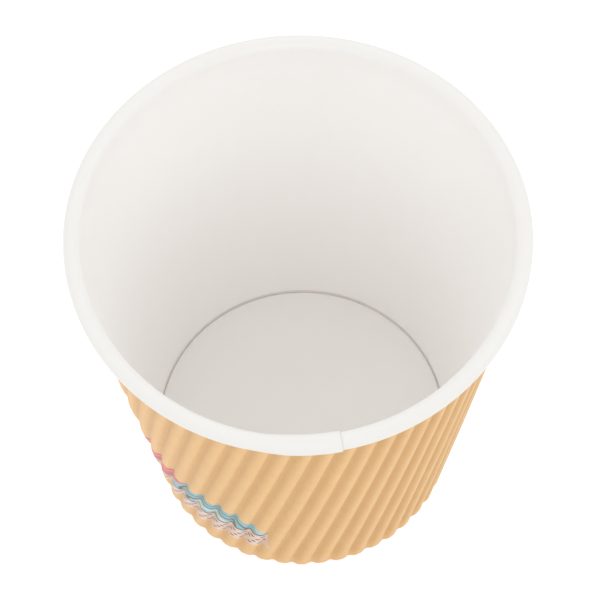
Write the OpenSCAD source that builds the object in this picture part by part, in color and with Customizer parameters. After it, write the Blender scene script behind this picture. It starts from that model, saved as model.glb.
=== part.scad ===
// Double wall paper cup: a coated white board cup with a rolled rim and a recessed floor,
// wrapped in a kraft sleeve whose flutes slant because they run parallel across its flat sheet.

/* [Cup] */
// Height from the standing edge to the top of the rim
cup_h = 94; // [86:1:106]
// Outside diameter over the rolled rim
rim_d = 90; // [86:1:96]
// Outside diameter of the standing edge
base_d = 62; // [56:1:68]
// Thickness of the coated board
board_t = 0.35; // [0.25:0.05:0.45]
// Diameter of the rim's roll
roll_d = 3.4; // [2.8:0.1:4]
// Turn of the rim's roll from the wall to its hidden end, in degrees
roll_turn = 405; // [380:5:430]

/* [Floor and foot] */
// Height of the floor's upper face above the standing edge
floor_h = 5.9; // [5.6:0.1:9]
// Outside radius of the bend between the floor and its skirt
floor_bend_r = 1; // [0.6:0.05:1.2]
// Height of the wall's edge folded up inside the skirt
foot_fold_h = 4.6; // [3:0.1:4.8]
// Outside radius of the fold's two lower corners
foot_edge_r = 0.3; // [0.15:0.05:0.4]
// Glue line on each side of the skirt
glue_gap = 0.05; // [0.03:0.01:0.1]

/* [Side seam] */
// Width of the lap where the wall's two edges are sealed
lap_w = 7; // [4:0.5:10]
// Step left at the edge of the pressed lap
lap_step = 0.3; // [0.1:0.05:0.35]
// Place of the lap's edge around the cup, to the right of the front, in degrees
seam_turn = 9.5; // [-180:0.5:180]

/* [Sleeve] */
// Height of the sleeve's lower edge above the standing edge
sleeve_lift = 1.7; // [0.5:0.1:6]
// Gap between the sleeve's upper edge and the rim's roll
rim_gap = 0.1; // [0.05:0.05:3]
// Thickness of the kraft paper
kraft_t = 0.3; // [0.2:0.05:0.4]
// Clearance of the sleeve's valleys from the wall, and within its lap
sleeve_gap = 0.15; // [0.12:0.01:0.3]
// Place of the middle of the sheet around the cup, to the right of the front, in degrees
sheet_turn = 79; // [-180:1:180]
// Width of the sleeve's pressed and glued lap at mid height
sleeve_lap_w = 9; // [6:0.5:14]

/* [Flutes] */
// Distance between flutes across the flat sheet
flute_pitch = 4; // [3.8:0.1:6]
// Depth of a flute from crest to valley
flute_depth = 0.95; // [0.5:0.05:1.3]
// Breadth of the crests: 2 is an even wave, more gives broad crests and narrow valleys
crest_breadth = 4; // [2:0.1:5]
// Length over which the flutes die out beside the sleeve's lap
fade_w = 6; // [3:0.5:10]
// Height of the crimped band along the lower edge
crimp_h = 6; // [3:0.5:10]
// Share of the flute depth that is left at the crimped edge
crimp_share = 0.5; // [0.3:0.05:1]

/* [Hidden] */
$fn = 96;
board_colour = "#f4f2ee";
floor_colour = "#efece6";
kraft_colour = "#dcb27e";

// The wall runs from the standing edge to a tangent of the rim's roll
roll_r = roll_d / 2;
roll_c = [rim_d / 2 - roll_r, cup_h - roll_r];
foot_in_r = base_d / 2 - board_t;
reach = [roll_c.x - foot_in_r, roll_c.y];
taper = atan2(reach.x, reach.y) - asin(roll_r / norm(reach));
board_w = board_t / cos(taper);
slot_w = board_w + 2 * glue_gap;
roll_step = 9;

function wall_out(z) = base_d / 2 + z * tan(taper);
function wall_in(z) = wall_out(z) - board_w;
function polar(r, a) = r * [cos(a), sin(a)];
function arc(c, r, from, to, steps) =
    [for (i = [0:steps]) c + polar(r, from + (to - from) * i / steps)];
function back(v) = [for (i = [len(v) - 1:-1:0]) v[i]];

// The roll keeps its radius over the top, then tightens by one board for each half turn
function roll_at(a) = roll_r - max(0, a - 180) / 180 * (board_t + glue_gap);
function roll_point(a, inset) = roll_c + polar(roll_at(a) - inset, 180 - taper - a);
function roll_path(to, inset) =
    let (steps = ceil(to / roll_step))
    [for (i = [0:steps]) roll_point(to * i / steps, inset)];

// The side seam's lap, as an angle at the wall's mid height
lap_turn = lap_w / wall_in(cup_h / 2) * 180 / PI;
lap_roll_turn = 225;
lap_foot = floor_h + 0.6;

// The sleeve's sheet lies on a cone: s is the distance from its apex, u the distance across the flutes
sheet_off = sleeve_gap + kraft_t / 2;
sheet_foot = (wall_out(0) + sheet_off / cos(taper)) / sin(taper);
sheet_top_z = cup_h - roll_d - rim_gap;
s_low = sheet_foot + sleeve_lift / cos(taper);
s_high = sheet_foot + sheet_top_z / cos(taper);
sleeve_lap_turn = sleeve_lap_w / wall_out(cup_h / 2) * 180 / PI;
fade_turn = fade_w / wall_out(cup_h / 2) * 180 / PI;
end_turn = 180 + sleeve_lap_turn / 2;
end_fan = end_turn * sin(taper);
u_end = s_high * sin(end_fan) - 0.1;
flute_steps = 6;
u_step = flute_pitch / flute_steps;
u_count = floor(u_end / u_step - 0.3);
columns = concat([-u_end], [for (k = [-u_count:u_count]) k * u_step], [u_end]);
crimp_row = 1 - crimp_h / (s_high - s_low);
rows = concat([for (i = [0:5]) crimp_row * i / 5], [1]);

function ease(x) = let (c = min(1, max(0, x))) c * c * (3 - 2 * c);
function wave(u) = 1 - pow(abs(sin(180 * u / flute_pitch)), crest_breadth);
function wave_slope(u) = (wave(u + 0.02) - wave(u - 0.02)) / 0.04;
function s_end(u) = max(s_low, abs(u) / sin(end_fan));
function turn_at(u, s) = asin(u / s) / sin(taper);
// Flutes lie flat in the lap, and the lap's outer end lies over its inner end
function flat_share(turn) = ease((end_turn - sleeve_lap_turn - abs(turn)) / fade_turn);
function lap_lift(turn) = turn < 0 ? 0 : (1 - flat_share(turn)) * (kraft_t + sleeve_gap);
// The crimp along the lower edge lifts the valleys and leaves the crests
function crimp(s) = crimp_share + (1 - crimp_share) * ease((s - s_low) / crimp_h);
function sheet_point(u, s, h) =
    let (turn = turn_at(u, s) + sheet_turn)
    let (r = s * sin(taper) + h * cos(taper))
    [r * sin(turn), -r * cos(turn), (s - sheet_foot) * cos(taper) - h * sin(taper)];
// One face of the sheet, half its thickness to either side of the wave
function sheet_face_point(u, row, side) =
    let (s = s_high + (s_end(u) - s_high) * row)
    let (crest = flute_depth * flat_share(turn_at(u, s)))
    let (depth = crest * crimp(s))
    let (slope = depth * wave_slope(u))
    let (off = side * kraft_t / 2 / sqrt(1 + slope * slope))
    let (across = abs(u) == u_end ? u : u - slope * off)
    sheet_point(across, s, crest - depth * (1 - wave(u)) + lap_lift(turn_at(u, s)) + off);

// Sidewall board: rolled rim, tapered wall and the foot folded in and up
module wall_section() {
    outer_face = concat(
        [[wall_in(foot_fold_h) - slot_w - board_w, foot_fold_h]],
        arc([wall_in(0) - slot_w - board_w + foot_edge_r, foot_edge_r], foot_edge_r, 180, 270, 4),
        arc([wall_out(0) - foot_edge_r, foot_edge_r], foot_edge_r, 270, 360, 4),
        roll_path(roll_turn, board_t));
    inner_face = concat(
        [[wall_in(foot_fold_h) - slot_w, foot_fold_h]],
        [[wall_in(board_t) - slot_w, board_t]],
        [[wall_in(board_t), board_t]],
        roll_path(roll_turn, 0));
    polygon(concat(outer_face, back(inner_face)));
}

// Inner ply of the lap, which follows the wall and stays on the rim's roll
module lap_section() {
    raised = concat([[wall_in(lap_foot) - lap_step, lap_foot]], roll_path(lap_roll_turn, -lap_step));
    sunk = concat([[wall_in(lap_foot) + board_w / 2, lap_foot]], roll_path(lap_roll_turn, board_t / 2));
    polygon(concat(raised, back(sunk)));
}

module cup_wall() {
    color(board_colour) {
        rotate_extrude()
            wall_section();
        rotate([0, 0, seam_turn - lap_turn - 90])
            rotate_extrude(angle = lap_turn)
                lap_section();
    }
}

// Floor disc with its edge turned down into the foot
module base_disc() {
    skirt_low = board_t + glue_gap;
    bend_z = floor_h - floor_bend_r;
    bend_c = [wall_in(bend_z) - glue_gap - floor_bend_r, bend_z];
    color(floor_colour)
        rotate_extrude()
            polygon(concat(
                [[0, floor_h - board_t], [0, floor_h]],
                arc(bend_c, floor_bend_r, 90, 0, 6),
                [[wall_in(skirt_low) - glue_gap, skirt_low]],
                [[wall_in(skirt_low) - glue_gap - board_w, skirt_low]],
                arc(bend_c, floor_bend_r - board_t, 0, 90, 6)));
}

// Kraft sheet wrapped round the wall, its columns of points running along the flutes
module ripple_sleeve() {
    n = len(rows);
    m = len(columns);
    half = n * m;
    outside = [for (u = columns) for (row = rows) sheet_face_point(u, row, 1)];
    inside = [for (u = columns) for (row = rows) sheet_face_point(u, row, -1)];
    corners = [for (i = [0:m - 2]) for (j = [0:n - 2]) i * n + j];
    outer_skin = [for (c = corners) each [[c, c + n, c + n + 1], [c, c + n + 1, c + 1]]];
    inner_skin = [for (t = outer_skin) [half + t[2], half + t[1], half + t[0]]];
    border = concat(
        [for (i = [0:m - 1]) i * n],
        [for (j = [1:n - 1]) (m - 1) * n + j],
        [for (i = [m - 2:-1:0]) i * n + n - 1],
        [for (j = [n - 2:-1:1]) j]);
    b = len(border);
    edge = [for (k = [0:b - 1]) let (p = border[k], q = border[(k + 1) % b])
        each [[q, p, half + p], [q, half + p, half + q]]];
    color(kraft_colour)
        polyhedron(concat(outside, inside), concat(outer_skin, inner_skin, edge), convexity = 20);
}

cup_wall();
base_disc();
ripple_sleeve();
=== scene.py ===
"""Dresses the double wall paper cup: coated white board inside, fluted kraft paper outside."""

from __future__ import annotations

import logging
import math
from collections.abc import Mapping
from dataclasses import dataclass
from enum import Enum

import bpy
import numpy as np
from mathutils import Matrix, Vector


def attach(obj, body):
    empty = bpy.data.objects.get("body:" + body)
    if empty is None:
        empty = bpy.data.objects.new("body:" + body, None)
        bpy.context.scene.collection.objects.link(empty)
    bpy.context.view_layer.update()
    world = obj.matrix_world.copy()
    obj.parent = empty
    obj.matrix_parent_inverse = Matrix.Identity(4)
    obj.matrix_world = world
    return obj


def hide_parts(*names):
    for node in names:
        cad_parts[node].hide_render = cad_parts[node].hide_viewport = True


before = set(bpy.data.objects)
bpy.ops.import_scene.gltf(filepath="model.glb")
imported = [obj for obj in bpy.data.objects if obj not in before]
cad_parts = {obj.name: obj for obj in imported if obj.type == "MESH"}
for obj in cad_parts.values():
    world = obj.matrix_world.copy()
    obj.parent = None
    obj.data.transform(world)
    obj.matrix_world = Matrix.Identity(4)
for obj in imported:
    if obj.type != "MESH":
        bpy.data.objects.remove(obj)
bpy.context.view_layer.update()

LOG = logging.getLogger("paper_cup")
MM = 0.001
WHITE = "#ffffff"
# Paper fibres and the clear film on them both bend light about as much as glass
PAPER_IOR = 1.5

Colour = tuple[float, float, float, float]


def srgb(code: str) -> Colour:
    """Turn an sRGB hex colour into linear values.

    Args:
        code: Six hex digits with a leading hash.

    Returns:
        Linear red, green, blue and an alpha of one.
    """
    channels = [int(code[i : i + 2], 16) / 255 for i in (1, 3, 5)]
    red, green, blue = (c / 12.92 if c <= 0.04045 else ((c + 0.055) / 1.055) ** 2.4 for c in channels)
    return red, green, blue, 1.0


def per_metre(size_mm: float) -> float:
    """Give the texture scale at which one feature is size_mm wide in metres of object space."""
    return 1 / (size_mm * MM)


def add_node(
    tree: bpy.types.NodeTree,
    kind: str,
    inputs: Mapping[int | str, object] | None = None,
    **settings: object,
) -> bpy.types.Node:
    """Add a shader node with its settings, values and links.

    Args:
        tree: Node tree that takes the node.
        kind: Blender's type name for the node.
        inputs: Value or feeding socket for each named or numbered input.
        settings: Properties of the node itself.

    Returns:
        The new node.
    """
    node = tree.nodes.new(kind)
    for name, value in settings.items():
        setattr(node, name, value)
    for key, value in (inputs or {}).items():
        if isinstance(value, bpy.types.NodeSocket):
            tree.links.new(value, node.inputs[key])
        else:
            node.inputs[key].default_value = value
    return node


def new_material(name: str) -> tuple[bpy.types.Material, bpy.types.NodeTree, bpy.types.Node]:
    """Start an empty material.

    Args:
        name: Name of the real material.

    Returns:
        The material, its node tree and its output node.
    """
    material = bpy.data.materials.new(name)
    material.use_nodes = True
    tree = material.node_tree
    tree.nodes.clear()
    return material, tree, add_node(tree, "ShaderNodeOutputMaterial")


def ease(x: np.ndarray, start: float, end: float) -> np.ndarray:
    """Rise smoothly from 0 to 1 as x goes from start to end."""
    c = np.clip((x - start) / (end - start), 0, 1)
    return c * c * (3 - 2 * c)


def mesh_object(
    name: str, points: np.ndarray, faces: list[tuple[int, ...]], crease: float
) -> bpy.types.Object:
    """Make a smooth-shaded mesh with creased paper edges.

    Args:
        name: Name of the piece.
        points: Vertex places in millimetres, with x, y and z along the last axis.
        faces: Vertex numbers of each face.
        crease: Angle in degrees above which an edge stays sharp.

    Returns:
        The object, linked to the scene.
    """
    mesh = bpy.data.meshes.new(name)
    mesh.from_pydata((points.reshape(-1, 3) * MM).tolist(), [], faces)
    mesh.validate()
    mesh.shade_smooth()
    mesh.set_sharp_from_angle(angle=math.radians(crease))
    piece = bpy.data.objects.new(name, mesh)
    bpy.context.scene.collection.objects.link(piece)
    return piece


def store(piece: bpy.types.Object, name: str, values: np.ndarray) -> None:
    """Keep one number with each vertex for the piece's material.

    Args:
        piece: Object that takes the numbers.
        name: Name that the material looks them up by.
        values: One number for each vertex.
    """
    layer = piece.data.attributes.new(name, "FLOAT", "POINT")
    layer.data.foreach_set("value", values.astype(np.float32).ravel())


def lattice(columns: int, rows: int, close_columns: bool, close_rows: bool) -> list[tuple[int, ...]]:
    """List the quads of a lattice of points stored column by column.

    Args:
        columns: Number of columns.
        rows: Number of points in a column.
        close_columns: Whether the last column joins the first.
        close_rows: Whether the last row joins the first.

    Returns:
        Vertex numbers of each quad.
    """
    quads = []
    for i in range(columns if close_columns else columns - 1):
        k = (i + 1) % columns
        for j in range(rows if close_rows else rows - 1):
            n = (j + 1) % rows
            quads.append((i * rows + j, k * rows + j, k * rows + n, i * rows + n))
    return quads


@dataclass(frozen=True)
class CupForm:
    """Sizes in millimetres that the cup's pieces share.

    The front of the cup faces -Y, and turns are in degrees to the right of it. The roll's turn is its angle
    from the wall to its hidden end, and sway is how far the paper springs in from round at the rim.
    """

    height: float = 94.0
    rim_d: float = 90.0
    base_d: float = 62.0
    board_t: float = 0.35
    roll_d: float = 3.4
    roll_turn: float = 405.0
    floor_h: float = 5.9
    glue_gap: float = 0.05
    sway: float = 0.28
    sway_lobes: int = 3

    @property
    def roll_r(self) -> float:
        """Radius of the rim's roll."""
        return self.roll_d / 2

    @property
    def roll_centre(self) -> tuple[float, float]:
        """Radius and height of the middle of the roll."""
        return self.rim_d / 2 - self.roll_r, self.height - self.roll_r

    @property
    def taper(self) -> float:
        """Lean of the wall in radians, as a tangent from the foot to the roll."""
        across = self.roll_centre[0] - (self.base_d / 2 - self.board_t)
        up = self.roll_centre[1]
        return math.atan2(across, up) - math.asin(self.roll_r / math.hypot(across, up))

    @property
    def board_w(self) -> float:
        """Thickness of the leaning board measured level."""
        return self.board_t / math.cos(self.taper)

    def wall_out(self, z: float | np.ndarray) -> float | np.ndarray:
        """Radius of the wall's outer face at a height."""
        return self.base_d / 2 + z * math.tan(self.taper)

    def wall_in(self, z: float | np.ndarray) -> float | np.ndarray:
        """Radius of the wall's inner face at a height."""
        return self.wall_out(z) - self.board_w

    def roll(self, angle: np.ndarray, lift: float | np.ndarray) -> tuple[np.ndarray, np.ndarray]:
        """Follow the roll, which tightens by one board for each half turn past the outside.

        Args:
            angle: Angles along the roll from the wall in degrees.
            lift: Distance out from the roll's visible face in millimetres.

        Returns:
            Radii and heights in millimetres.
        """
        turned_in = np.maximum(0, angle - 180) / 180 * (self.board_t + self.glue_gap)
        reach = self.roll_r - turned_in + lift
        swing = math.pi - self.taper - np.radians(angle)
        middle_r, middle_z = self.roll_centre
        return middle_r + reach * np.cos(swing), middle_z + reach * np.sin(swing)

    def spring(self, turn: np.ndarray, z: np.ndarray) -> np.ndarray:
        """Give how far the paper springs in from round.

        Args:
            turn: Turns about the cup in degrees.
            z: Heights in millimetres.

        Returns:
            Changes of radius in millimetres, which grow towards the rim.
        """
        lobes = (np.cos(np.radians(self.sway_lobes * turn)) - 1) / 2
        return self.sway * lobes * np.clip(z / self.height, 0, 1) ** 2

    def place(self, turn: np.ndarray, r: np.ndarray, z: np.ndarray) -> np.ndarray:
        """Turn cup coordinates into points.

        Args:
            turn: Turns about the cup in degrees.
            r: Radii in millimetres.
            z: Heights in millimetres.

        Returns:
            Points in millimetres along a new last axis.
        """
        a = np.radians(turn)
        around = r + self.spring(turn, z)
        return np.stack([around * np.sin(a), -around * np.cos(a), z], axis=-1)


@dataclass(frozen=True)
class Grain:
    """Irregular pattern in a paper.

    Its patches are size_mm wide. Detail is how many finer layers lie on them, and coarse is their strength.
    """

    size_mm: float
    detail: float
    coarse: float = 0.5

    def inputs(self, place: bpy.types.NodeSocket) -> dict[int | str, object]:
        """Give the noise inputs that draw the pattern at a place in object space."""
        scale = per_metre(self.size_mm)
        return {"Vector": place, "Scale": scale, "Detail": self.detail, "Roughness": self.coarse}


@dataclass(frozen=True)
class CoatedBoard:
    """Cup board, pressed smooth and coated with a thin clear film.

    The film gives a soft satin gloss, and the pulp under it faint clouds and a fine tooth. Painted shade
    greys the roll and lays a grey line in the crevice round the floor, and the lap's cut edge shows bare pulp
    with the painted shadow of the seam's gap. The gloss wanders by sheen, over the values that most clouds
    have.
    """

    name: str = "polyethylene coated cup board"
    pulp: str = "#fdfcfb"
    cloud: str = "#fbf9f7"
    # Painted shade that greys the roll
    roll_shade: str = "#f1f0ec"
    # Bare pulp of the lap's cut edge, darkened by painted shadow of the seam's gap
    cut: str = "#e4e0d9"
    # Painted shade for the grey line in the crevice round the floor
    seal: str = "#e8e5e0"
    roughness: float = 0.42
    sheen: float = 0.05
    cloud_values: tuple[float, float] = (0.3, 0.7)
    clouds: Grain = Grain(size_mm=7.0, detail=3.0, coarse=0.55)
    tooth: Grain = Grain(size_mm=0.6, detail=2.0)
    tooth_depth_mm: float = 0.02
    tooth_strength: float = 0.12

    def material(self) -> bpy.types.Material:
        """Make the board's material.

        Returns:
            The material, which looks up the painted shade on the roll and in the crevice round the floor, and
            the cut edge with painted shadow of the seam's gap.
        """
        material, tree, output = new_material(self.name)
        place = add_node(tree, "ShaderNodeTexCoord").outputs["Object"]
        clouds = add_node(tree, "ShaderNodeTexNoise", self.clouds.inputs(place)).outputs["Fac"]
        colour = add_node(
            tree,
            "ShaderNodeMix",
            {"Factor": clouds, "A": srgb(self.pulp), "B": srgb(self.cloud)},
            data_type="RGBA",
        )
        # Painted shade on the roll, bare pulp with painted shadow of the seam's gap on the cut edge, and
        # painted shade in the crevice round the floor
        for mark, shade in (("rolled", self.roll_shade), ("cut_edge_and_gap_shade", self.cut), ("sealed", self.seal)):
            share = add_node(tree, "ShaderNodeAttribute", attribute_name=mark)
            colour = add_node(
                tree,
                "ShaderNodeMix",
                {"Factor": share.outputs["Fac"], "A": colour.outputs["Result"], "B": srgb(shade)},
                data_type="RGBA",
            )
        tooth = add_node(tree, "ShaderNodeTexNoise", self.tooth.inputs(place)).outputs["Fac"]
        bump = add_node(
            tree,
            "ShaderNodeBump",
            {"Height": tooth, "Strength": self.tooth_strength, "Distance": self.tooth_depth_mm * MM},
        )
        gloss = add_node(
            tree,
            "ShaderNodeMapRange",
            {
                "Value": clouds,
                "From Min": self.cloud_values[0],
                "From Max": self.cloud_values[1],
                "To Min": self.roughness - self.sheen,
                "To Max": self.roughness + self.sheen,
            },
        )
        shader = add_node(
            tree,
            "ShaderNodeBsdfPrincipled",
            {
                "Base Color": colour.outputs["Result"],
                "Roughness": gloss.outputs["Result"],
                "IOR": PAPER_IOR,
                "Normal": bump.outputs["Normal"],
            },
        )
        tree.links.new(shader.outputs["BSDF"], output.inputs["Surface"])
        return material


class Motif(Enum):
    """Simple shapes that the sleeve's print is made of."""

    BAND = "band"
    ARCH = "arch"
    DOTS = "dots"


class Tone(Enum):
    """Flat ink colours of the sleeve's print."""

    CREAM = "#ebd0c4"
    UMBER = "#4d392f"
    BROWN = "#553f34"
    RED = "#df465e"
    BLUE = "#7cbccb"
    PALE_BLUE = "#a5d0d8"
    MIST = "#cfe0df"


@dataclass(frozen=True)
class Ink:
    """One printed shape, placed in millimetres on the flat sheet.

    The middle is across and up from the print's lower middle. Size is the half width and half height of a
    band, the inner and outer radius of an arch, or the radius and spacing of dots. An arch with no inner
    radius is a filled hill. Reach is how far a row of dots runs to either side.
    """

    motif: Motif
    tone: Tone
    middle: tuple[float, float]
    size: tuple[float, float]
    reach: float = 0.0


@dataclass(frozen=True)
class KraftPaper:
    """Unbleached kraft paper, uncoated and printed in flat inks.

    Long brown fibres give it a warm mottle with darker flecks, and its surface stays matt. Painted shade
    darkens the valleys of its flutes below the crests, more to one side of each valley. A fibre's size is its
    breadth and length. Flecks grow over the heights in fleck_values, up to fleck_share.
    """

    name: str = "uncoated kraft paper"
    pulp: str = "#f2c583"
    shade: str = "#e9b66f"
    fleck: str = "#d2a059"
    # Painted shade that darkens the valleys of the flutes
    valley_shade: str = "#e9e4d6"
    roughness: float = 0.45
    mottle: Grain = Grain(size_mm=4.5, detail=4.0, coarse=0.6)
    # Real fibres are about 0.03 mm wide, so they are drawn as the coarser bundles that show
    fibre_mm: tuple[float, float] = (0.5, 2.6)
    fibre_detail: float = 2.0
    fibre_depth_mm: float = 0.05
    fibre_strength: float = 0.25
    fleck_values: tuple[float, float] = (0.62, 0.78)
    fleck_share: float = 0.45
    ink_strength: float = 0.93
    print_middle: tuple[float, float] = (-27.0, 11.0)
    inks: tuple[Ink, ...] = (
        Ink(Motif.BAND, Tone.CREAM, (0.0, 4.8), (19.0, 4.8)),
        *(
            Ink(Motif.DOTS, Tone.UMBER, middle, (0.5, 2.1), 18.0)
            for middle in ((0.0, 1.9), (1.05, 3.8), (0.0, 5.7), (1.05, 7.6))
        ),
        Ink(Motif.ARCH, Tone.RED, (-7.5, 10.0), (0.0, 12.5)),
        Ink(Motif.ARCH, Tone.CREAM, (-7.5, 10.0), (8.0, 8.8)),
        Ink(Motif.ARCH, Tone.PALE_BLUE, (13.5, 10.0), (0.0, 5.5)),
        Ink(Motif.ARCH, Tone.BLUE, (6.0, 10.0), (0.0, 11.0)),
        Ink(Motif.ARCH, Tone.BROWN, (6.0, 10.0), (8.2, 8.9)),
        Ink(Motif.ARCH, Tone.BROWN, (6.0, 10.0), (5.6, 6.5)),
        Ink(Motif.ARCH, Tone.MIST, (6.0, 10.0), (2.4, 4.4)),
        Ink(Motif.BAND, Tone.BROWN, (0.0, 9.9), (19.0, 0.5)),
    )

    def material(self) -> bpy.types.Material:
        """Make the paper's material with its print.

        Returns:
            The material, which looks up the place on the flat sheet and the painted valley shade on the
            flutes.
        """
        material, tree, output = new_material(self.name)
        place = add_node(tree, "ShaderNodeTexCoord").outputs["Object"]
        mottle = add_node(tree, "ShaderNodeTexNoise", self.mottle.inputs(place)).outputs["Fac"]
        tone = add_node(
            tree,
            "ShaderNodeMix",
            {"Factor": mottle, "A": srgb(self.pulp), "B": srgb(self.shade)},
            data_type="RGBA",
        )
        sheet = add_node(tree, "ShaderNodeUVMap", uv_map="sheet").outputs["UV"]
        fibres = self.fibres(tree, sheet)
        flecks = add_node(
            tree,
            "ShaderNodeMapRange",
            {
                "Value": fibres,
                "From Min": self.fleck_values[0],
                "From Max": self.fleck_values[1],
                "To Max": self.fleck_share,
            },
        )
        paper = add_node(
            tree,
            "ShaderNodeMix",
            {"Factor": flecks.outputs["Result"], "A": tone.outputs["Result"], "B": srgb(self.fleck)},
            data_type="RGBA",
        )
        printed = self.printed(tree, sheet, paper.outputs["Result"])
        # Painted shade: the valleys darker than the crests, multiplied over the printed paper
        crest = add_node(tree, "ShaderNodeAttribute", attribute_name="crest")
        painted_valley_shade = add_node(
            tree,
            "ShaderNodeMix",
            {"Factor": crest.outputs["Fac"], "A": srgb(self.valley_shade), "B": srgb(WHITE)},
            data_type="RGBA",
        )
        colour = add_node(
            tree,
            "ShaderNodeMix",
            {"Factor": 1.0, "A": printed, "B": painted_valley_shade.outputs["Result"]},
            data_type="RGBA",
            blend_type="MULTIPLY",
        )
        bump = add_node(
            tree,
            "ShaderNodeBump",
            {"Height": fibres, "Strength": self.fibre_strength, "Distance": self.fibre_depth_mm * MM},
        )
        shader = add_node(
            tree,
            "ShaderNodeBsdfPrincipled",
            {
                "Base Color": colour.outputs["Result"],
                "Roughness": self.roughness,
                "IOR": PAPER_IOR,
                "Normal": bump.outputs["Normal"],
            },
        )
        tree.links.new(shader.outputs["BSDF"], output.inputs["Surface"])
        return material

    def fibres(self, tree: bpy.types.NodeTree, sheet: bpy.types.NodeSocket) -> bpy.types.NodeSocket:
        """Lay fibres both ways across the sheet.

        Args:
            tree: Node tree of the paper.
            sheet: Place on the flat sheet in millimetres.

        Returns:
            Height of the fibres, from 0 to 1.
        """
        thin, long = self.fibre_mm
        layers = {}
        for layer, (across, along) in enumerate(((thin, long), (long, thin))):
            spread = add_node(
                tree,
                "ShaderNodeVectorMath",
                {0: sheet, 1: (1 / across, 1 / along, 1.0)},
                operation="MULTIPLY",
            )
            noise = {"Vector": spread.outputs[0], "Scale": 1.0, "Detail": self.fibre_detail}
            layers[layer] = add_node(tree, "ShaderNodeTexNoise", noise).outputs["Fac"]
        return add_node(tree, "ShaderNodeMath", layers, operation="MAXIMUM").outputs[0]

    def printed(
        self, tree: bpy.types.NodeTree, sheet: bpy.types.NodeSocket, paper: bpy.types.NodeSocket
    ) -> bpy.types.NodeSocket:
        """Print the inks over the paper's colour, one after the other.

        Args:
            tree: Node tree of the paper.
            sheet: Place on the flat sheet in millimetres.
            paper: Colour of the bare paper.

        Returns:
            Colour of the printed paper.
        """
        colour = paper
        for ink in self.inks:
            middle = (self.print_middle[0] + ink.middle[0], self.print_middle[1] + ink.middle[1], 0.0)
            offset = add_node(tree, "ShaderNodeVectorMath", {0: sheet, 1: middle}, operation="SUBTRACT")
            cover = self.cover(tree, ink, offset.outputs[0])
            colour = add_node(
                tree,
                "ShaderNodeMix",
                {"Factor": cover, "A": colour, "B": srgb(ink.tone.value)},
                data_type="RGBA",
            ).outputs["Result"]
        return colour

    def cover(
        self, tree: bpy.types.NodeTree, ink: Ink, offset: bpy.types.NodeSocket
    ) -> bpy.types.NodeSocket:
        """Say how strongly one ink covers the paper.

        Args:
            tree: Node tree of the paper.
            ink: Shape to print.
            offset: Place measured from the shape's middle.

        Returns:
            The ink's strength inside the shape and zero outside.
        """
        first, second = ink.size
        parts = add_node(tree, "ShaderNodeSeparateXYZ", {0: offset})
        x, y = parts.outputs["X"], parts.outputs["Y"]
        if ink.motif is Motif.BAND:
            tests = [
                (x, "GREATER_THAN", -first),
                (x, "LESS_THAN", first),
                (y, "GREATER_THAN", -second),
                (y, "LESS_THAN", second),
            ]
        elif ink.motif is Motif.DOTS:
            span = {0: x, 1: second / 2, 2: -second / 2}
            column = add_node(tree, "ShaderNodeMath", span, operation="WRAP")
            near = add_node(tree, "ShaderNodeCombineXYZ", {"X": column.outputs[0], "Y": y})
            away = add_node(tree, "ShaderNodeVectorMath", {0: near.outputs[0]}, operation="LENGTH")
            tests = [
                (away.outputs["Value"], "LESS_THAN", first),
                (x, "GREATER_THAN", -ink.reach),
                (x, "LESS_THAN", ink.reach),
            ]
        else:
            away = add_node(tree, "ShaderNodeVectorMath", {0: offset}, operation="LENGTH").outputs["Value"]
            tests = [(away, "GREATER_THAN", first), (away, "LESS_THAN", second), (y, "GREATER_THAN", 0.0)]
        share = self.ink_strength
        for value, test, limit in tests:
            held = add_node(tree, "ShaderNodeMath", {0: value, 1: limit}, operation=test).outputs[0]
            share = add_node(tree, "ShaderNodeMath", {0: share, 1: held}, operation="MULTIPLY").outputs[0]
        return share


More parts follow.
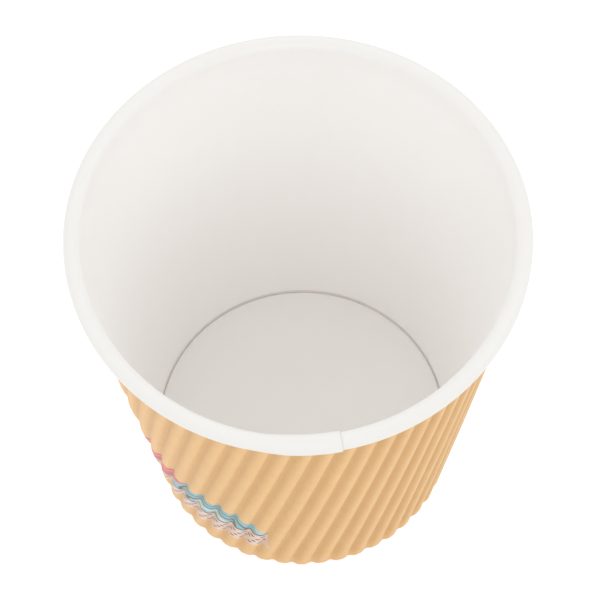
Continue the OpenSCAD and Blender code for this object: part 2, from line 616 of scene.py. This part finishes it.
@dataclass
class CupWall:
    """Sidewall of coated board: rolled rim, lapped side seam, and the foot folded in and up.

    Sizes are in millimetres and turns in degrees.
    """

    form: CupForm
    finish: CoatedBoard
    fold_h: float = 4.6
    fold_r: float = 0.3
    fold_steps: int = 7
    lap_w: float = 7.0
    lap_step: float = 0.28
    # Past the lap, its inner ply runs on as the wall and falls back over this turn
    lap_fall: float = 10.0
    # The lap is pressed flat up to the first height above the floor and stands proud from the second
    lap_rise: tuple[float, float] = (0.4, 1.9)
    # The lap stays on the roll up to this angle along it
    lap_roll_turn: float = 225.0
    seam_turn: float = 9.5
    # The lap's cut edge, with the painted shadow of the seam's gap, shows this far to either side of the
    # seam, and ends in a close pair of columns
    cut_turn: float = 0.16
    cut_blur: float = 0.01
    # The even columns keep this far from the seam
    seam_clear: float = 0.3
    # The middle of the painted shade's grey line in the crevice round the floor lies this far above the floor
    crevice_shade_lift: float = 0.05
    # The line is full out to the first distance from its middle and gone at the second
    crevice_shade_reach: tuple[float, float] = (0.125, 0.375)
    # Heights above the floor of extra wall rows that carry the crevice's painted shade
    crevice_shade_rows: tuple[float, ...] = (-0.4, -0.1, 0.2, 0.45)
    # The painted shade that greys the roll grows between these angles along it, and is part grown where the
    # wall joins it
    roll_shade_turns: tuple[float, float] = (-40.0, 70.0)
    columns: int = 240
    roll_steps: int = 54
    wall_steps: int = 14
    # A power below one brings the rows closer together towards the rim
    row_power: float = 0.8
    crease: float = 38.0

    @property
    def slot(self) -> float:
        """Width of the slot for the floor's skirt between the wall and its folded foot."""
        return self.form.board_w + 2 * self.form.glue_gap

    def past_seam(self, turn: np.ndarray) -> np.ndarray:
        """Give how far each turn lies to the left of the seam, from -180 to 180 degrees."""
        return (self.seam_turn - turn + 180) % 360 - 180

    def lap_share(self, turn: np.ndarray) -> np.ndarray:
        """Say how much of the lap's inner ply stands proud.

        Args:
            turn: Turns about the cup in degrees.

        Returns:
            One on the lap, falling sharply at its edge and slowly where its ply runs on as the wall.
        """
        lap = math.degrees(self.lap_w / self.form.wall_in(self.form.height / 2))
        past = self.past_seam(turn)
        return np.where(past < 0, 0.0, 1 - ease(past, lap, lap + self.lap_fall))

    def cut_and_gap_shade_share(self, turn: np.ndarray) -> np.ndarray:
        """Say where the lap's cut edge and the painted shadow of the seam's gap show, as one there and zero
        beside it.
        """
        return (np.abs(self.past_seam(turn)) < self.cut_turn).astype(float)

    def turns(self) -> np.ndarray:
        """Give the turns of the columns.

        Returns:
            Even turns in degrees, with a close pair at each side of the lap's cut edge.
        """
        even = np.arange(self.columns) * 360 / self.columns - 180
        even = even[np.abs(even - self.seam_turn) > self.seam_clear]
        side = self.cut_turn + self.cut_blur * np.array([-1, 1])
        return np.sort(np.concatenate([even, self.seam_turn - side, self.seam_turn + side]))

    def angles(self) -> np.ndarray:
        """Give the angles along the roll, from the wall to its hidden end."""
        return np.linspace(0, self.form.roll_turn, self.roll_steps)

    def wall_rows(self, low: float) -> np.ndarray:
        """Give the heights of the wall's rows between low and the roll."""
        share = np.linspace(0, 1, self.wall_steps + 1)[1:-1] ** self.row_power
        return low + (self.form.roll_centre[1] - low) * share

    def outer_face(self) -> tuple[np.ndarray, np.ndarray]:
        """Follow the board's outer face from its folded end, round the foot and up to the roll's hidden end.

        Returns:
            Radii and heights in millimetres.
        """
        form = self.form
        fold = np.linspace(0, math.pi / 2, self.fold_steps)
        tail_r = form.wall_in(0) - self.slot - form.board_w + self.fold_r
        heel_r = form.wall_out(0) - self.fold_r
        wall_z = self.wall_rows(self.fold_r)
        roll_r, roll_z = form.roll(self.angles(), -form.board_t)
        end_r = [form.wall_in(self.fold_h) - self.slot - form.board_w]
        tail = tail_r - self.fold_r * np.cos(fold)
        heel = heel_r + self.fold_r * np.sin(fold)
        tail_z = self.fold_r - self.fold_r * np.sin(fold)
        heel_z = self.fold_r - self.fold_r * np.cos(fold)
        r = np.concatenate([end_r, tail, heel, form.wall_out(wall_z), roll_r])
        z = np.concatenate([[self.fold_h], tail_z, heel_z, wall_z, roll_z])
        return r, z

    def inner_face(self, turn: np.ndarray) -> tuple[np.ndarray, np.ndarray]:
        """Follow the board's inner face back from the roll's hidden end to the folded end.

        Args:
            turn: Turns of the columns in degrees, one row each.

        Returns:
            Radii and heights in millimetres, with a row for each column.
        """
        form = self.form
        raised = self.lap_share(turn) * self.lap_step
        angle = self.angles()
        roll_r, roll_z = form.roll(angle, raised * (angle < self.lap_roll_turn))
        # Extra rows that carry the painted shade in the crevice round the floor
        crevice_shade_z = form.floor_h + np.array(self.crevice_shade_rows)
        wall_z = np.sort(np.concatenate([self.wall_rows(form.board_t), crevice_shade_z]))
        wall_r = form.wall_in(wall_z) - raised * ease(wall_z - form.floor_h, *self.lap_rise)
        fold_z = np.array([form.board_t, form.board_t, self.fold_h])
        fold_r = form.wall_in(fold_z) - np.array([0, self.slot, self.slot])
        repeat = (len(turn), 1)
        r = np.concatenate([roll_r[:, ::-1], wall_r[:, ::-1], np.tile(fold_r, repeat)], axis=1)
        z = np.concatenate([roll_z[:, ::-1], np.tile(wall_z[::-1], repeat), np.tile(fold_z, repeat)], axis=1)
        return r, z

    def build(self) -> bpy.types.Object:
        """Sweep the board's section round the cup.

        Returns:
            The wall.
        """
        turn = self.turns()[:, None]
        outer_r, outer_z = self.outer_face()
        inner_r, inner_z = self.inner_face(turn)
        repeat = (len(turn), 1)
        r = np.concatenate([np.tile(outer_r, repeat), inner_r], axis=1)
        z = np.concatenate([np.tile(outer_z, repeat), inner_z], axis=1)
        points = self.form.place(turn, r, z)
        faces = lattice(*r.shape, close_columns=True, close_rows=True)
        piece = mesh_object("coated_wall", points, faces, self.crease)
        self.mark(piece, turn, z, len(outer_r))
        return piece

    def mark(self, piece: bpy.types.Object, turn: np.ndarray, z: np.ndarray, roll_end: int) -> None:
        """Store the shares of painted shade on the roll and in the crevice round the floor, and of the cut
        edge with painted shadow of the seam's gap.

        Args:
            piece: The wall.
            turn: Turns of its columns in degrees, one row each.
            z: Heights of its points in millimetres, with a row for each column.
            roll_end: Place in a column where the outer face's roll ends and the inner face's begins.
        """
        # Painted shade that greys the roll, ramped in along the roll's angle
        roll_shade_ramp = ease(self.angles(), *self.roll_shade_turns)
        rolled = np.zeros(z.shape)
        rolled[:, roll_end - len(roll_shade_ramp) : roll_end] = roll_shade_ramp
        rolled[:, roll_end : roll_end + len(roll_shade_ramp)] = roll_shade_ramp[::-1]
        # Painted shade in the crevice round the floor, as a grey line at the floor's height
        from_crevice_shade = np.abs(z - self.form.floor_h - self.crevice_shade_lift)
        store(piece, "rolled", rolled)
        # The cut edge with painted shadow of the seam's gap, on the roll only
        store(piece, "cut_edge_and_gap_shade", self.cut_and_gap_shade_share(turn) * (rolled > 0))
        store(piece, "sealed", 1 - ease(from_crevice_shade, *self.crevice_shade_reach))

    def dress(self, piece: bpy.types.Object) -> None:
        """Give the wall its board and set it in the frame.

        Args:
            piece: The wall.
        """
        piece.data.materials.append(self.finish.material())
        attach(piece, "root")
        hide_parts("cup_wall")


@dataclass
class BaseDisc:
    """Floor of coated board with its edge turned down into the foot.

    Sizes are in millimetres. Dish is how far the middle sags, and hub is the share of the flat's radius that
    one face closes.
    """

    form: CupForm
    finish: CoatedBoard
    bend_r: float = 0.65
    dish: float = 0.12
    hub: float = 0.02
    columns: int = 180
    rings: int = 16
    bend_steps: int = 10
    crease: float = 38.0

    def build(self) -> bpy.types.Object:
        """Sweep the disc's section round the cup and close its middle.

        Returns:
            The floor.
        """
        form = self.form
        low = form.board_t + form.glue_gap
        bend_z = form.floor_h - self.bend_r
        bend_c = form.wall_in(bend_z) - form.glue_gap - self.bend_r
        bend = np.linspace(0, math.pi / 2, self.bend_steps)
        flat = np.linspace(self.hub, 1, self.rings)[:-1] * bend_c
        flat_z = form.floor_h - self.dish * (1 - (flat / bend_c) ** 2)
        skirt_r = form.wall_in(low) - form.glue_gap
        under = self.bend_r - form.board_t
        r = np.concatenate(
            [
                flat,
                bend_c + self.bend_r * np.sin(bend),
                [skirt_r, skirt_r - form.board_w],
                bend_c + under * np.cos(bend),
                flat[::-1],
            ]
        )
        z = np.concatenate(
            [
                flat_z,
                bend_z + self.bend_r * np.cos(bend),
                [low, low],
                bend_z + under * np.sin(bend),
                flat_z[::-1] - form.board_t,
            ]
        )
        turn = np.arange(self.columns)[:, None] * 360 / self.columns
        shape = (self.columns, len(r))
        points = form.place(turn, np.broadcast_to(r, shape), np.broadcast_to(z, shape))
        faces = lattice(*shape, close_columns=True, close_rows=False)
        rim = np.arange(self.columns) * len(r)
        faces.append(tuple(rim[::-1].tolist()))
        faces.append(tuple((rim + len(r) - 1).tolist()))
        return mesh_object("floor_disc", points, faces, self.crease)

    def dress(self, piece: bpy.types.Object) -> None:
        """Give the floor its board and set it in the frame.

        Args:
            piece: The floor.
        """
        piece.data.materials.append(self.finish.material())
        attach(piece, "root")
        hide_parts("base_disc")


@dataclass
class RippleSleeve:
    """Kraft sheet with parallel flutes, wrapped into a cone so that they slant.

    A place on the sheet is u, the distance across the flutes from the sheet's middle, and s, the distance
    from the cone's apex. Sizes are in millimetres and turns in degrees.
    """

    form: CupForm
    finish: KraftPaper
    lift: float = 1.7
    rim_gap: float = 0.1
    paper_t: float = 0.3
    gap: float = 0.15
    sheet_turn: float = 79.0
    lap_w: float = 9.0
    end_trim: float = 0.1
    pitch: float = 4.0
    depth: float = 0.95
    crest_breadth: float = 4.0
    fade_w: float = 6.0
    crimp_h: float = 6.0
    crimp_share: float = 0.5
    # The painted shade of each valley is shifted this far across the flutes, so that one side of it is darker
    valley_shade_offset: float = 0.55
    # Flutes differ by this share of their depth, in waves given in radians a millimetre along u and s
    uneven: float = 0.05
    swell: tuple[float, float] = (0.61, 0.043)
    swell_start: float = 0.8
    skew: tuple[float, float] = (0.31, 0.05)
    flute_steps: int = 14
    # The last column of the flutes keeps this share of a step clear of the sheet's end
    end_clear: float = 0.3
    row_count: int = 20
    crimp_rows: int = 6
    slope_step: float = 0.01
    print_radius: float = 35.0
    crease: float = 50.0

    @property
    def foot(self) -> float:
        """Distance from the cone's apex to the level of the standing edge."""
        middle = (self.gap + self.paper_t / 2) / math.cos(self.form.taper)
        return (self.form.wall_out(0) + middle) / math.sin(self.form.taper)

    @property
    def low(self) -> float:
        """Distance from the cone's apex to the sheet's lower edge."""
        return self.foot + self.lift / math.cos(self.form.taper)

    @property
    def high(self) -> float:
        """Distance from the cone's apex to the sheet's upper edge."""
        return self.foot + (self.form.height - self.form.roll_d - self.rim_gap) / math.cos(self.form.taper)

    @property
    def lap_turn(self) -> float:
        """Turn that the lap takes up at mid height."""
        return math.degrees(self.lap_w / self.form.wall_out(self.form.height / 2))

    @property
    def fade_turn(self) -> float:
        """Turn over which the flutes die out beside the lap."""
        return math.degrees(self.fade_w / self.form.wall_out(self.form.height / 2))

    @property
    def end_turn(self) -> float:
        """Turn from the sheet's middle to either end."""
        return 180 + self.lap_turn / 2

    @property
    def end_slope(self) -> float:
        """Distance across the flutes at either end, for each millimetre from the apex."""
        return math.sin(math.radians(self.end_turn) * math.sin(self.form.taper))

    def columns(self) -> np.ndarray:
        """Give the places of the columns across the flutes.

        Returns:
            Values of u from one end of the sheet to the other.
        """
        u_end = self.high * self.end_slope - self.end_trim
        step = self.pitch / self.flute_steps
        count = math.floor(u_end / step - self.end_clear)
        return np.concatenate([[-u_end], np.arange(-count, count + 1) * step, [u_end]])

    def rows(self) -> np.ndarray:
        """Give the rows of a column.

        Returns:
            Shares of the way from the upper edge to the lower one, closer together in the crimped band.
        """
        crimp = 1 - self.crimp_h / (self.high - self.low)
        plain = np.linspace(0, crimp, self.row_count)
        return np.concatenate([plain, np.linspace(crimp, 1, self.crimp_rows + 1)[1:]])

    def turn_at(self, u: np.ndarray, s: np.ndarray) -> np.ndarray:
        """Turn from the sheet's middle to a place on it."""
        return np.degrees(np.arcsin(u / s) / math.sin(self.form.taper))

    def wave(self, u: np.ndarray) -> np.ndarray:
        """Height of the flutes from 0 in the valleys to 1 on the crests."""
        return 1 - np.abs(np.sin(np.pi * u / self.pitch)) ** self.crest_breadth

    def unevenness(self, u: np.ndarray, s: np.ndarray) -> np.ndarray:
        """Say how deep the flutes are at each place.

        Args:
            u: Distances across the flutes.
            s: Distances from the apex.

        Returns:
            Shares of the depth of an even flute.
        """
        swelling = np.sin(u * self.swell[0] + self.swell_start) * np.sin(s * self.swell[1])
        slack = np.abs(np.sin(u * self.skew[0] + s * self.skew[1]))
        return 1 + self.uneven * swelling - self.uneven * slack

    def face(
        self, u: np.ndarray, s: np.ndarray, crest: np.ndarray, depth: np.ndarray, side: int
    ) -> np.ndarray:
        """Place one face of the sheet, half its thickness to either side of the wave.

        Args:
            u: Distances across the flutes.
            s: Distances from the apex.
            crest: Heights of the crests off the cone.
            depth: Depths of the flutes.
            side: One for the outer face and minus one for the inner face.

        Returns:
            Points in millimetres along a new last axis.
        """
        lean = self.form.taper
        rise = self.wave(u + self.slope_step) - self.wave(u - self.slope_step)
        slope = depth * rise / (2 * self.slope_step)
        off = side * self.paper_t / 2 / np.sqrt(1 + slope**2)
        across = np.clip(u - slope * off, -s * self.end_slope, s * self.end_slope)
        h = crest - depth * (1 - self.wave(u)) + off
        r = s * math.sin(lean) + h * math.cos(lean)
        z = (s - self.foot) * math.cos(lean) - h * math.sin(lean)
        return self.form.place(self.turn_at(across, s) + self.sheet_turn, r, z)

    def skin(self, columns: int, around: int) -> list[tuple[int, ...]]:
        """List the faces of the closed sheet.

        Args:
            columns: Number of columns across the flutes.
            around: Number of points in a column, down the outer face and back up the inner one.

        Returns:
            Vertex numbers of each face, with the two ends closed.
        """
        quads = lattice(columns, around, close_columns=False, close_rows=True)
        for column in (0, columns - 1):
            top = column * around
            last = top + around - 1
            strip = [(top + j, top + j + 1, last - j - 1, last - j) for j in range(around // 2 - 1)]
            quads.extend(strip if column else [quad[::-1] for quad in strip])
        return quads

    def build(self) -> bpy.types.Object:
        """Run columns of points along the flutes on both faces of the sheet.

        Returns:
            The sleeve.
        """
        u = self.columns()[:, None]
        s = self.high + (np.maximum(self.low, np.abs(u) / self.end_slope) - self.high) * self.rows()
        turn = self.turn_at(u, s)
        fluted = ease(self.end_turn - self.lap_turn - np.abs(turn), 0, self.fade_turn)
        crimp = self.crimp_share + (1 - self.crimp_share) * ease(s, self.low, self.low + self.crimp_h)
        height = self.depth * fluted * self.unevenness(u, s)
        lifted = np.where(turn < 0, 0, (1 - fluted) * (self.paper_t + self.gap))
        outer, inner = (self.face(u, s, height + lifted, height * crimp, side) for side in (1, -1))
        points = np.concatenate([outer, inner[:, ::-1]], axis=1)
        piece = mesh_object("kraft_sleeve", points, self.skin(*points.shape[:2]), self.crease)
        arc = np.radians(turn + self.sheet_turn) * self.print_radius
        sheet = np.stack([arc, s - self.low], axis=-1)
        self.lay_out(piece, np.concatenate([sheet, sheet[:, ::-1]], axis=1).reshape(-1, 2))
        # Share of painted valley shade: one on the crests, falling in the valleys and shifted to one side,
        # weaker by the lap and in the crimped band
        crest = 1 - np.sin(np.pi * (u - self.valley_shade_offset) / self.pitch) ** 2 * fluted * crimp
        store(piece, "crest", np.concatenate([crest, crest[:, ::-1]], axis=1))
        return piece

    def lay_out(self, piece: bpy.types.Object, sheet: np.ndarray) -> None:
        """Store each point's place on the flat sheet.

        Args:
            piece: The sleeve.
            sheet: Millimetres round from the front and up from the lower edge, for each vertex.
        """
        layer = piece.data.uv_layers.new(name="sheet")
        corners = np.empty(len(piece.data.loops), dtype=np.int32)
        piece.data.loops.foreach_get("vertex_index", corners)
        layer.data.foreach_set("uv", sheet[corners].astype(np.float32).ravel())

    def dress(self, piece: bpy.types.Object) -> None:
        """Give the sleeve its printed kraft paper and set it in the frame.

        Args:
            piece: The sleeve.
        """
        piece.data.materials.append(self.finish.material())
        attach(piece, "root")
        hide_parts("ripple_sleeve")


@dataclass(frozen=True)
class Lamp:
    """One round softbox, with its place and width in metres and its power in watts."""

    name: str
    place: tuple[float, float, float]
    size: float
    power: float


@dataclass
class Studio:
    """Pale floor, soft light and the camera above the cup.

    The floor has one colour and glow for the light that it throws back, and one pair that looks white. Sizes
    are in metres, angles in radians, and the camera's shift from the rim's middle is in rim radii.
    """

    floor_colour: str = "#dededd"
    floor_glow: float = 0.2
    seen_colour: str = "#b4b4b4"
    seen_glow: float = 0.72
    floor_r: float = 3.0
    floor_sides: int = 96
    # The floor lies just under the standing edge, so that the two don't share a plane
    floor_drop: float = 0.0001
    sky: float = 0.85
    zenith: float = 0.5
    # Height on a unit sphere above which the sky dims
    zenith_from: float = 0.93
    # Light bounces many times inside a deep white cup before it comes out again
    bounces: int = 12
    lamps: tuple[Lamp, ...] = (
        Lamp("front_softbox", (0.0, -1.0, 0.8), 0.8, 1.45),
        Lamp("right_softbox", (1.0, 0.0, 0.8), 0.8, 1.5),
        Lamp("left_softbox", (-0.85, 0.0, 0.95), 0.8, 1.25),
        Lamp("back_softbox", (0.0, 1.0, 0.8), 0.8, 1.0),
    )
    aim: tuple[float, float, float] = (0.0, 0.0, 0.05)
    focal_px: float = 2600.0
    image_px: float = 600.0
    sensor_mm: float = 36.0
    far_clip: float = 20.0
    rim_r: float = 0.045
    rim_z: float = 0.0923
    pitch: float = 1.11214093
    roll: float = -0.0220106
    shift: tuple[float, float, float] = (-0.00880035, 0.27090587, 11.0194121)

    def seen(self, tree: bpy.types.NodeTree) -> bpy.types.NodeSocket:
        """Tell the rays that should find white from those that carry light.

        Args:
            tree: Node tree of the floor or the sky.

        Returns:
            One for a ray from the camera or a gloss, and zero for the rest.
        """
        path = add_node(tree, "ShaderNodeLightPath")
        eyes = {0: path.outputs["Is Camera Ray"], 1: path.outputs["Is Glossy Ray"]}
        return add_node(tree, "ShaderNodeMath", eyes, operation="MAXIMUM").outputs[0]

    def lay_floor(self) -> None:
        """Lay a wide pale floor that keeps the cup's shadow and looks white to the camera."""
        corners = np.arange(self.floor_sides) * 2 * math.pi / self.floor_sides
        ring = [(self.floor_r * math.cos(a), self.floor_r * math.sin(a), 0.0) for a in corners]
        mesh = bpy.data.meshes.new("pale_floor")
        mesh.from_pydata(ring, [], [tuple(range(len(ring)))])
        floor = bpy.data.objects.new("pale_floor", mesh)
        floor.location.z = -self.floor_drop
        bpy.context.scene.collection.objects.link(floor)
        material, tree, output = new_material("matt white paper floor")
        looks = {0: self.seen(tree)}
        for colour, glow in ((self.floor_colour, self.floor_glow), (self.seen_colour, self.seen_glow)):
            paper = add_node(tree, "ShaderNodeBsdfDiffuse", {"Color": srgb(colour)})
            light = add_node(tree, "ShaderNodeEmission", {"Strength": glow})
            both = add_node(tree, "ShaderNodeAddShader", {0: paper.outputs[0], 1: light.outputs[0]})
            looks[len(looks)] = both.outputs[0]
        mixed = add_node(tree, "ShaderNodeMixShader", looks)
        tree.links.new(mixed.outputs[0], output.inputs["Surface"])
        mesh.materials.append(material)

    def spread_sky(self) -> None:
        """Spread a pale sky that is dimmer overhead and looks white to the camera."""
        world = bpy.data.worlds.new("pale_sky")
        world.use_nodes = True
        tree = world.node_tree
        tree.nodes.clear()
        towards = add_node(tree, "ShaderNodeTexCoord").outputs["Generated"]
        height = add_node(tree, "ShaderNodeSeparateXYZ", {0: towards})
        glow = add_node(
            tree,
            "ShaderNodeMapRange",
            {
                "Value": height.outputs["Z"],
                "From Min": self.zenith_from,
                "To Min": self.sky,
                "To Max": self.zenith,
            },
        )
        strength = add_node(
            tree,
            "ShaderNodeMapRange",
            {"Value": self.seen(tree), "To Min": glow.outputs["Result"], "To Max": 1.0},
        )
        sky = add_node(
            tree, "ShaderNodeBackground", {"Color": srgb(WHITE), "Strength": strength.outputs["Result"]}
        )
        output = add_node(tree, "ShaderNodeOutputWorld", {"Surface": sky.outputs[0]})
        output.is_active_output = True
        bpy.context.scene.world = world

    def hang_lamps(self) -> None:
        """Hang a softbox on each side of the cup, and let light bounce on inside it."""
        bpy.context.scene.cycles.diffuse_bounces = self.bounces
        for lamp in self.lamps:
            source = bpy.data.lights.new(lamp.name, "AREA")
            source.shape = "DISK"
            source.size = lamp.size
            source.energy = lamp.power
            holder = bpy.data.objects.new(lamp.name, source)
            holder.location = lamp.place
            holder.rotation_euler = (Vector(self.aim) - holder.location).to_track_quat("-Z", "Y").to_euler()
            bpy.context.scene.collection.objects.link(holder)

    def aim_camera(self) -> None:
        """Set the camera high in front of the cup, looking down into it."""
        forward = Vector((0, math.cos(self.pitch), -math.sin(self.pitch)))
        level = Vector((1, 0, 0))
        rise = Vector((0, math.sin(self.pitch), math.cos(self.pitch)))
        right = math.cos(self.roll) * level + math.sin(self.roll) * rise
        up = math.cos(self.roll) * rise - math.sin(self.roll) * level
        place = -(self.shift[0] * right + self.shift[1] * up + self.shift[2] * forward) * self.rim_r
        place.z += self.rim_z
        lens = bpy.data.cameras.new("overhead_camera")
        lens.sensor_width = self.sensor_mm
        lens.lens = self.sensor_mm * self.focal_px / self.image_px
        lens.clip_end = self.far_clip
        camera = bpy.data.objects.new("overhead_camera", lens)
        turn = Matrix((right, up, -forward)).transposed()
        camera.matrix_world = Matrix.Translation(place) @ turn.to_4x4()
        bpy.context.scene.collection.objects.link(camera)
        bpy.context.scene.camera = camera


def main() -> None:
    """Build the cup's pieces in order, then the studio round them."""
    logging.basicConfig(level=logging.INFO, format="%(name)s: %(message)s")
    bpy.context.scene.view_settings.view_transform = "Standard"
    form = CupForm()
    makers = (
        CupWall(form, CoatedBoard()),
        BaseDisc(form, CoatedBoard(name="coated floor board", pulp="#faf8f6", cloud="#f8f6f3")),
        RippleSleeve(form, KraftPaper()),
    )
    for maker in makers:
        piece = maker.build()
        maker.dress(piece)
        LOG.info("%s has %d faces", piece.name, len(piece.data.polygons))
    studio = Studio()
    studio.lay_floor()
    studio.spread_sky()
    studio.hang_lamps()
    studio.aim_camera()


if __name__ == "__main__":
    main()
